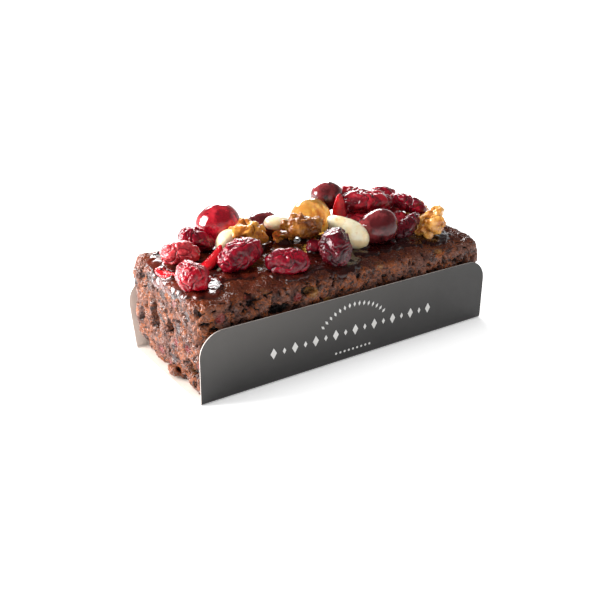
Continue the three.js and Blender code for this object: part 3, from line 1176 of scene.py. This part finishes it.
class Look(Enum):
    """The finishes of the whole cake."""

    CRUMB = CrumbFinish("cake_crumb", {"Specular IOR Level": 0.45})
    GLAZE = GlazeFinish("fruit_glaze", {**WET, "Coat IOR": 1.37})
    CRANBERRY = CranberryFinish("dried_cranberry", {**JUICY, "Coat Roughness": 0.06})
    BRIGHT_CRANBERRY = CranberryFinish(
        "bright_cranberry", {**JUICY, "Coat Roughness": 0.07},
        (0.42, 0.003, 0.014), (0.20, 0.002, 0.010), (0.035, 0.0005, 0.002), 0.15,
    )
    # A lighter copy of the cranberry, as if strongly lit, with dense glints: painted light and painted
    # highlight.
    PALE_CRANBERRY = CranberryFinish(
        "pale_cranberry", {**JUICY, "Coat Roughness": 0.07},
        (0.66, 0.06, 0.07), (0.42, 0.012, 0.022), (0.09, 0.001, 0.004), 0.75,
    )
    DARK_CRANBERRY = CranberryFinish(
        "dark_cranberry", {**JUICY, "Coat Roughness": 0.05},
        (0.12, 0.003, 0.010), (0.045, 0.002, 0.006), (0.008, 0.0005, 0.001),
    )
    RED_STRIP = CranberryFinish(
        "red_strip", JUICY, (0.66, 0.006, 0.012), (0.42, 0.003, 0.008), (0.15, 0.001, 0.002)
    )
    RED_CHERRY = CherryFinish("red_candied_cherry", {**JUICY, **CLEAR})
    # Its lighter patches are painted highlights.
    DARK_CHERRY = CherryFinish(
        "dark_candied_cherry", JUICY, (0.075, 0.008, 0.010), (0.22, 0.032, 0.036), (0.014, 0.003, 0.004)
    )
    GOLDEN_CHERRY = CherryFinish(
        "golden_candied_cherry", {**WET, **HONEY, **CLEAR},
        (0.78, 0.40, 0.07), (0.92, 0.60, 0.18), (0.58, 0.26, 0.035),
    )
    DARK_FRUIT = DarkFruitFinish("dark_fruit", WET)
    BLANCHED_NUT = BlanchedNutFinish("blanched_nut", {**NUTTY, "Coat Weight": 0.6, "Coat Roughness": 0.12})
    WALNUT = WalnutFinish("walnut", {"Coat Weight": 0.7, "Coat Roughness": 0.1})
    TOASTED_WALNUT = WalnutFinish("toasted_walnut", TOASTED, (0.85, 0.36, 0.055), (0.45, 0.12, 0.010), 0.22)
    DARK_WALNUT = WalnutFinish("dark_walnut", TOASTED, (0.70, 0.27, 0.04), (0.34, 0.08, 0.008), 0.6)
    CARD_OUTSIDE = InkFinish("card_outside", {"Specular IOR Level": 0.35})
    CARD_INSIDE = CardFinish("card_inside", {}, (0.66, 0.59, 0.53), (0.72, 0.65, 0.585), 0.6)
    CARD_CORE = CardFinish("card_core", {}, (0.45, 0.40, 0.37), (0.40, 0.36, 0.33), 0.7)
    PRINT = CardFinish("pale_print", {}, (0.72, 0.71, 0.69), (0.66, 0.65, 0.63), 0.5)


@cache
def material_of(look: Look) -> bpy.types.Material:
    """The material of a look, built the first time that it is asked for."""
    return look.value.material()


# ---- Toppings ------------------------------------------------------------------------------------------


@dataclass(frozen=True)
class Way:
    """How a kind of topping is made: its surface, with its lengths and its mesh's grain in millimetres."""

    surface: bpy.types.NodeTree
    lengths: dict[str, float] = field(default_factory=dict)
    grain: float = 0.0
    rounds: int = 3


PLUMP = plump_group()
WRINKLE = wrinkle_group()
KERNEL = kernel_group()
BOW = bow_group()


class Kind(Enum):
    """The kinds of topping."""

    PLAIN = Way(PLUMP)
    CHERRY = Way(PLUMP, {"size": 8, "depth": 0.8})
    CRANBERRY = Way(
        WRINKLE, {"lift": 0.6, "fold_size": 5.4, "fold_depth": 0.9, "fine_size": 1.7, "fine_depth": 0.2}, 0.26
    )
    DARK_FRUIT = Way(
        WRINKLE, {"lift": 1.0, "fold_size": 7, "fold_depth": 0.9, "fine_size": 2.4, "fine_depth": 0.12}, 0.3
    )
    WALNUT = Way(KERNEL, {}, 0.27)


@dataclass(frozen=True)
class Settled:
    """How a soft piece has moved from its solid, in millimetres, and grown, and turned, in degrees."""

    move: Place
    grow: float = 1.0
    turn: float = 0.0

    axis: ClassVar[Place] = (0.52, 0.76, -0.39)

    def apply(self, piece: Piece) -> None:
        """Moves, grows and turns the piece's mesh about its own middle.

        Args:
            piece: The piece.
        """
        ends = [Vector(end) for end in piece.bound_box]
        middle = sum(ends, Vector()) / len(ends)
        turned = Matrix.Rotation(math.radians(self.turn), 4, Vector(self.axis)) @ Matrix.Scale(self.grow, 4)
        moved = Matrix.Translation(middle + Vector(metres(self.move)))
        piece.data.transform(moved @ turned @ Matrix.Translation(-middle))


@dataclass
class Topping:
    """One piece of fruit or nut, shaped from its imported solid."""

    node: str
    slot: str
    kind: Kind
    look: Look
    settled: Optional[Settled] = None

    def build(self) -> Piece:
        """Rounds the solid, meshes it finely, shapes its surface, and gives it its materials and its place.

        Returns:
            The finished piece.
        """
        way: Way = self.kind.value
        piece = welded_copy(self.node, f"{self.node}_piece")
        modify(piece, "SUBSURF", levels=way.rounds, render_levels=way.rounds)
        if way.grain:
            modify(piece, "REMESH", mode="VOXEL", voxel_size=way.grain * MM)
        shape_with(piece, way.surface, **way.lengths)
        if self.settled:
            self.settled.apply(piece)
        smooth_shaded(piece)
        hand_in(piece, self.slot, (self.node,), self.look)
        return piece


SETTLED: dict[str, Settled] = {
    "almond_middle": Settled((-2.6, -3.4, 1.6), 1.1, 169),
    "cherry_dark_front": Settled((-0.4, -0.4, -0.9), 1.12),
    "cherry_dark_top": Settled((-0.5, 0.4, 1.3)),
    "cranberry_back_double": Settled((1.6, -1.2, 0.0), 1.16),
    "cranberry_front": Settled((-0.8, 0.0, -1.4), 1.04),
    "cranberry_front_left": Settled((-1.4, -1.4, -0.6), 1.1),
    "cranberry_front_middle": Settled((-2.1, -3.0, -1.3), 1.06),
    "cranberry_middle_left": Settled((-1.0, 0.0, -0.7), 1.08),
    "cranberry_top": Settled((-1.6, 1.0, -1.2), 1.3),
    "cranberry_top_right": Settled((0.0, 0.0, 0.3), 1.3),
    "date_right": Settled((-0.6, 0.4, 0.2), 1.14),
    "brazil_left": Settled((0.6, 2.6, -0.6), 0.88),
    "strip_upright": Settled((-0.9, 0.4, -0.4), 1.2),
    "strip_left": Settled((-2.4, -2.2, 0.8), 1.06),
    "walnut_left": Settled((-6.8, -1.4, 2.0), 1.24),
    "walnut_right": Settled((-1.4, -0.6, -1.6), 1.1),
}

OF_SLOT: dict[str, tuple[Kind, Look]] = {
    "cranberry": (Kind.CRANBERRY, Look.CRANBERRY),
    "red_cherry": (Kind.CHERRY, Look.RED_CHERRY),
    "dark_cherry": (Kind.CHERRY, Look.DARK_CHERRY),
    "golden_cherry": (Kind.CHERRY, Look.GOLDEN_CHERRY),
    "dark_fruit": (Kind.DARK_FRUIT, Look.DARK_FRUIT),
    "blanched_nut": (Kind.PLAIN, Look.BLANCHED_NUT),
    "walnut": (Kind.WALNUT, Look.WALNUT),
}

OF_NODE: dict[str, tuple[Kind, Look]] = {
    "walnut_middle": (Kind.WALNUT, Look.DARK_WALNUT),
    "walnut_left": (Kind.WALNUT, Look.TOASTED_WALNUT),
    "walnut_small": (Kind.WALNUT, Look.TOASTED_WALNUT),
    "strip_left_edge": (Kind.PLAIN, Look.RED_STRIP),
    "strip_left": (Kind.PLAIN, Look.RED_STRIP),
    "strip_upright": (Kind.PLAIN, Look.RED_STRIP),
    "cranberry_back_left": (Kind.CRANBERRY, Look.PALE_CRANBERRY),
    "cranberry_front_left": (Kind.CRANBERRY, Look.BRIGHT_CRANBERRY),
    "cranberry_top": (Kind.CRANBERRY, Look.BRIGHT_CRANBERRY),
    "cranberry_front": (Kind.CRANBERRY, Look.DARK_CRANBERRY),
    "cranberry_right": (Kind.CRANBERRY, Look.DARK_CRANBERRY),
}


@dataclass
class Heap:
    """All the toppings, each made in the way of its kind."""

    under: tuple[str, ...] = ("sleeve", "cake")

    def toppings(self) -> list[Topping]:
        """Everything in the record that isn't under the heap. A node's own kind goes before its slot's."""
        made = []
        for part in frame["record"]["subparts"]:
            node, slot = part["node"], part["material_slot"]
            if node not in self.under:
                kind, look = OF_NODE.get(node, OF_SLOT[slot])
                made.append(Topping(node, slot, kind, look, SETTLED.get(node)))
        return made

    def build(self) -> None:
        """Builds every topping."""
        for topping in self.toppings():
            topping.build()


# ---- Cake ----------------------------------------------------------------------------------------------


DENTS = (
    Dent((-77.5, 12.5, 23), (7, 3.6, 7.5), 5),
    Dent((-77.5, -3, 23.5), (7, 3.2, 3.4), 4),
    Dent((-77.5, -21, 11.5), (7, 4.2, 4.6), 4.4),
    Dent((-53, -29.6, 39), (3.2, 6, 3), 3.6),
    Dent((-40, -29.6, 32.6), (6.5, 6, 2.8), 3.6),
    Dent((-26, -29.6, 37.5), (4.2, 6, 2.4), 3),
    Dent((77.5, -8, 28), (6, 4, 3.2), 3.4),
    Dent((77.5, 17, 13), (6, 3.4, 5), 3.6),
    Dent((-30, 30.4, 38), (4.6, 6, 3), 3.2),
    Dent((36, 30.4, 36.5), (3.6, 6, 3.6), 3.4),
    Dent((-75, 29, 42), (11, 11, 8), -1.4),
    Dent((-76, 29, 24), (9, 10, 28), -2.2),
    Dent((-77.5, -29, 1), (9, 7, 7), -3.6),
)


@dataclass
class Cake:
    """The crumb of the cake and the glaze over its top."""

    grain: float = 0.45 * MM
    triangles: int = 190_000
    smoothing: int = 6
    glaze_grain: float = 0.75 * MM
    glaze_floor: float = 39.5 * MM
    glaze_smoothing: int = 10
    chunk_place: Place = (-77.4 * MM, -4.0 * MM, 3.8 * MM)
    chunk_size: Place = (4.0 * MM, 5.0 * MM, 4.6 * MM)

    def chunk(self) -> Piece:
        """A lump of crumb that sticks out low on the left end."""
        piece = new_primitive("chunk", bpy.ops.mesh.primitive_ico_sphere_add, subdivisions=4, radius=0.5)
        piece.data.transform(Matrix.Translation(self.chunk_place) @ Matrix.Diagonal((*self.chunk_size, 1.0)))
        return piece

    def crumb(self) -> Piece:
        """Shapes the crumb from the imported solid.

        Returns:
            The crumb.
        """
        piece = welded_copy("cake", "cake_crumb")
        modify(piece, "SUBSURF", levels=2, render_levels=2, subdivision_type="SIMPLE")
        piece = joined("cake_crumb", [piece, self.chunk()])
        modify(piece, "REMESH", mode="VOXEL", voxel_size=self.grain)
        modify(piece, "SMOOTH", factor=0.5, iterations=self.smoothing)
        shape_with(piece, crumb_group(DENTS))
        modify(piece, "DECIMATE", ratio=min(1.0, self.triangles / (2 * len(piece.data.polygons))))
        smooth_shaded(piece)
        hand_in(piece, "cake", ("cake",), Look.CRUMB)
        return piece

    def glaze(self) -> Piece:
        """Shapes the glaze from the cake and its toppings together, so that it gathers between them.

        Returns:
            The glaze.
        """
        feet = [welded_copy(topping.node, f"under_{topping.node}") for topping in Heap().toppings()]
        toppings = joined("toppings", feet)
        piece = joined("glaze", [welded_copy("cake", "under_cake"), copy_of(toppings, "over_cake")])
        modify(piece, "REMESH", mode="VOXEL", voxel_size=self.glaze_grain)
        with edited(piece):
            floor = (0, 0, self.glaze_floor)
            bpy.ops.mesh.bisect(plane_co=floor, plane_no=(0, 0, 1), clear_inner=True, use_fill=True)
        modify(piece, "SMOOTH", factor=0.5, iterations=self.glaze_smoothing)
        shape_with(piece, glaze_group(frame["nodes"]["cake"], toppings))
        smooth_shaded(piece)
        bpy.data.objects.remove(toppings)
        hand_in(piece, "cake", (), Look.GLAZE)
        return piece

    def build(self) -> None:
        """Builds the crumb and the glaze."""
        self.crumb()
        self.glaze()


# ---- Sleeve --------------------------------------------------------------------------------------------


@dataclass(frozen=True)
class Mark:
    """One printed shape: its corners, its place along and up the wall, its width and height, and its turn."""

    corners: int
    along: float
    up: float
    size: Span
    turn: float = 0.0


@dataclass
class Ornament:
    """The plain ornament: an arc of small lozenges over a row of large and small ones, and a row of dots."""

    middle: float = -2 * MM
    arc_count: int = 15
    arc_radius: float = 24 * MM
    arc_up: float = 3 * MM
    arc_span: float = math.radians(46)
    arc_size: Span = (1.3 * MM, 2.5 * MM)
    row_count: int = 17
    row_middle: float = -1 * MM
    row_step: float = 5.5 * MM
    row_up: float = 14.2 * MM
    row_sizes: tuple[Span, Span] = ((3.2 * MM, 5.2 * MM), (1.8 * MM, 3.0 * MM))
    dots_a_side: int = 4
    dot_step: float = 2.4 * MM
    dot_up: float = 4.8 * MM
    dot_size: Span = (1.1 * MM, 1.1 * MM)

    def marks(self) -> Iterator[Mark]:
        """All the printed shapes, the arc first and the dots last."""
        for i in range(self.arc_count):
            angle = self.arc_span * (2 * i / (self.arc_count - 1) - 1)
            along = self.middle + self.arc_radius * math.sin(angle)
            up = self.arc_up + self.arc_radius * math.cos(angle)
            yield Mark(4, along, up, self.arc_size, -angle)
        for i in range(self.row_count):
            along = self.row_middle + self.row_step * (i - (self.row_count - 1) / 2)
            yield Mark(4, along, self.row_up, self.row_sizes[i % 2])
        for i in range(-self.dots_a_side, self.dots_a_side + 1):
            yield Mark(12, self.middle + self.dot_step * i, self.dot_up, self.dot_size)


@dataclass
class Sleeve:
    """A strip of card folded to a channel, and the plain ornament printed on its front wall."""

    width: float = 65 * MM
    wall: float = 32 * MM
    card: float = 0.55 * MM
    fold_radius: float = 1.4 * MM
    fold_steps: int = 6
    corner_radius: float = 11 * MM
    corner_steps: int = 14
    front_lean: float = math.radians(1.0)
    back_lean: float = math.radians(13)
    hard_edge: float = math.radians(35)
    strip: float = 4 * MM
    ink: float = 0.03 * MM

    def __post_init__(self) -> None:
        """Reads the sleeve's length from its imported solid."""
        low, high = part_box("sleeve")
        self.length = high.x - low.x

    @staticmethod
    def select_where(test: Callable[[Vector], bool], kind: str) -> None:
        """Selects the edges or corners whose points all pass a test, in edit mode.

        Args:
            test: Takes a point and says whether it counts.
            kind: EDGE or VERT.
        """
        bpy.ops.mesh.select_all(action="DESELECT")
        bpy.ops.mesh.select_mode(type=kind)
        mesh = bmesh.from_edit_mesh(bpy.context.object.data)
        for item in (mesh.edges if kind == "EDGE" else mesh.verts):
            points = [v.co for v in item.verts] if kind == "EDGE" else [item.co]
            item.select_set(all(test(point) for point in points))
        bmesh.update_edit_mesh(bpy.context.object.data)

    @staticmethod
    def cut(place: Place, normal: Place) -> None:
        """Cuts the whole mesh along a plane, in edit mode.

        Args:
            place: A point of the plane.
            normal: The plane's normal.
        """
        bpy.ops.mesh.select_all(action="SELECT")
        bpy.ops.mesh.bisect(plane_co=place, plane_no=normal)

    def raise_wall(self, side: int, lean: float) -> None:
        """Folds one wall up from the base, in edit mode.

        Args:
            side: -1 for the front wall and 1 for the back one.
            lean: How far the wall leans out, in radians.
        """
        fold = side * self.width / 2
        self.select_where(lambda point: abs(point.y - fold) < NEAR and abs(point.z) < NEAR, "EDGE")
        rise = (0.0, side * self.wall * math.sin(lean), self.wall * math.cos(lean))
        bpy.ops.mesh.extrude_region_move(TRANSFORM_OT_translate={"value": rise})

    def channel(self) -> Piece:
        """Folds the sleeve out of one flat strip.

        Returns:
            The sleeve.
        """
        piece = new_primitive("sleeve_card", bpy.ops.mesh.primitive_plane_add, size=1.0)
        with edited(piece):
            bpy.ops.transform.resize(value=(self.length, self.width, 1.0))
            for side, lean in ((-1, self.front_lean), (1, self.back_lean)):
                self.raise_wall(side, lean)
            self.select_where(lambda point: point.z > self.wall / 2, "VERT")
            bpy.ops.mesh.bevel(offset=self.corner_radius, segments=self.corner_steps, affect="VERTICES")
            fold = self.width / 2
            self.select_where(lambda point: abs(point.z) < NEAR and abs(abs(point.y) - fold) < NEAR, "EDGE")
            bpy.ops.mesh.bevel(offset=self.fold_radius, segments=self.fold_steps, affect="EDGES")
            steps = int(self.length / self.strip)
            for step in range(1, steps):
                self.cut((-self.length / 2 + step * self.length / steps, 0, 0), (1, 0, 0))
            for step in range(1, int(self.wall / self.strip)):
                self.cut((0, 0, 2 * self.fold_radius + step * self.strip), (0, 0, 1))
            bpy.ops.mesh.select_all(action="SELECT")
            bpy.ops.mesh.normals_make_consistent(inside=False)
        self.face_outwards(piece)
        shape_with(piece, BOW)
        for look in (Look.CARD_OUTSIDE, Look.CARD_INSIDE, Look.CARD_CORE):
            piece.data.materials.append(material_of(look))
        modify(piece, "SOLIDIFY", thickness=self.card, offset=-1.0, use_even_offset=True,
               material_offset=1, material_offset_rim=2)
        smooth_shaded(piece, self.hard_edge)
        hand_in(piece, "card", ("sleeve",))
        return piece

    @staticmethod
    def face_outwards(piece: Piece) -> None:
        """Turns the open channel so that its base faces down and its walls face away from the cake.

        Args:
            piece: The channel before it has a thickness.
        """
        base = max(piece.data.polygons, key=lambda polygon: abs(polygon.normal.z) * polygon.area)
        if base.normal.z > 0:
            with edited(piece):
                bpy.ops.mesh.flip_normals()

    def printed(self, mark: Mark) -> Piece:
        """One printed shape, drawn flat and stood on the front wall.

        Args:
            mark: The shape.

        Returns:
            The printed shape.
        """
        circle = bpy.ops.mesh.primitive_circle_add
        piece = new_primitive("mark", circle, vertices=mark.corners, radius=0.5, fill_type="NGON")
        with edited(piece):
            bpy.ops.transform.resize(value=(*mark.size, 1.0))
            bpy.ops.mesh.extrude_region_move(TRANSFORM_OT_translate={"value": (0, 0, self.ink)})
            bpy.ops.mesh.select_all(action="SELECT")
            bpy.ops.mesh.normals_make_consistent(inside=False)
        foot = Matrix.Translation((0.0, -self.width / 2, 0.0))
        lean = Matrix.Rotation(math.pi / 2 + self.front_lean, 4, "X")
        flat = Matrix.Translation((mark.along, mark.up, 0.0)) @ Matrix.Rotation(mark.turn, 4, "Z")
        piece.data.transform(foot @ lean @ flat)
        return piece

    def ornament(self) -> Piece:
        """Prints the ornament on the front wall.

        Returns:
            The ornament.
        """
        piece = joined("sleeve_print", [self.printed(mark) for mark in Ornament().marks()])
        shape_with(piece, BOW)
        hand_in(piece, "card", (), Look.PRINT)
        return piece

    def build(self) -> None:
        """Builds the sleeve and its ornament."""
        self.channel()
        self.ornament()


# ---- Studio --------------------------------------------------------------------------------------------


@dataclass(frozen=True)
class Window:
    """A rectangular soft light: its name, its place and size in metres, and its power in watts."""

    name: str
    place: Place
    size: Span
    power: float

    def build(self, target: Vector) -> None:
        """Adds the light, facing a target.

        Args:
            target: What it faces.
        """
        light = bpy.data.lights.new(self.name, "AREA")
        light.shape = "RECTANGLE"
        light.size, light.size_y = self.size
        light.energy = self.power
        lamp = in_scene(self.name, light)
        lamp.location = self.place
        lamp.rotation_euler = (target - Vector(self.place)).to_track_quat("-Z", "Y").to_euler()


@dataclass
class Studio:
    """The plain floor, the soft lights and the camera."""

    camera_place: Place = (-0.20682, -0.29013, 0.16616)
    camera_turn: float = math.radians(34.27)
    camera_tilt: float = math.radians(22.71)
    camera_near: float = 0.01
    lens: float = 47.85
    floor_size: float = 60.0
    floor_tone: float = 0.93
    floor_rough: float = 0.9
    floor_glow: float = 0.32
    sky_low: float = 1.0
    sky_high: float = 0.14
    sky_from: float = 0.06
    sky_to: float = 0.45
    overhead_strength: float = 2.3
    overhead_spread: float = math.radians(70)
    overhead_turn: Place = (math.radians(-8), math.radians(-10), 0.0)
    aim: Place = (0.0, 0.0, 0.03)
    windows: tuple[Window, ...] = (
        Window("window", (-0.42, 0.24, 0.19), (0.30, 0.24), 6.0),
        Window("back", (0.16, 0.46, 0.28), (0.40, 0.16), 2.8),
    )

    def floor(self) -> None:
        """Lays the floor, which glows a little, so that it stays pale."""
        floor = new_primitive("floor", bpy.ops.mesh.primitive_plane_add, size=self.floor_size)
        paint = bpy.data.materials.new("floor")
        paint.use_nodes = True
        surface = paint.node_tree.nodes["Principled BSDF"]
        values = {"Base Color": opaque((self.floor_tone,) * 3), "Roughness": self.floor_rough,
                  "Specular IOR Level": 0.0, "Emission Color": opaque((1.0, 1.0, 1.0)),
                  "Emission Strength": self.floor_glow}
        for key, value in values.items():
            surface.inputs[key].default_value = value
        floor.data.materials.append(paint)

    def overhead(self) -> None:
        """Adds the very soft light from above, even over the whole floor and not seen in glossy surfaces."""
        light = bpy.data.lights.new("overhead", "SUN")
        light.energy = self.overhead_strength
        light.angle = self.overhead_spread
        lamp = in_scene("overhead", light)
        lamp.rotation_euler = self.overhead_turn
        lamp.visible_glossy = False

    def surroundings(self) -> None:
        """Surrounds everything with a sky that is white at the horizon and dim overhead."""
        world = bpy.data.worlds.new("studio")
        world.use_nodes = True
        world.node_tree.nodes.clear()
        tree = Tree(world.node_tree)
        up = tree.part(tree.node("ShaderNodeTexCoord").outputs["Generated"], 2)
        strength = tree.spread(up, self.sky_from, self.sky_to, self.sky_low, self.sky_high)
        sky = tree.node("ShaderNodeBackground", {"Color": opaque((1.0, 1.0, 1.0)), "Strength": strength})
        tree.node("ShaderNodeOutputWorld", {"Surface": sky.outputs[0]})
        bpy.context.scene.world = world

    def camera(self) -> None:
        """Sets the camera up."""
        camera = bpy.data.cameras.new("camera")
        camera.lens = self.lens
        camera.clip_start = self.camera_near
        holder = in_scene("camera", camera)
        holder.location = self.camera_place
        holder.rotation_euler = (math.pi / 2 - self.camera_tilt, 0.0, -self.camera_turn)
        bpy.context.scene.camera = holder
        bpy.context.scene.view_settings.view_transform = "Standard"

    def build(self) -> None:
        """Builds the floor, the surroundings, the lights and the camera."""
        self.floor()
        self.surroundings()
        for window in self.windows:
            window.build(Vector(self.aim))
        self.overhead()
        self.camera()


# ---- The whole -----------------------------------------------------------------------------------------


def corners(box: Any) -> list[list[float]]:
    """A box as two plain lists of numbers."""
    return [[float(value) for value in corner] for corner in box]


def main() -> None:
    """Builds everything in order."""
    logging.basicConfig(level=logging.INFO, format="%(name)s: %(message)s")
    Studio().build()
    Sleeve().build()
    Cake().build()
    Heap().build()


if __name__ == "__main__":
    main()
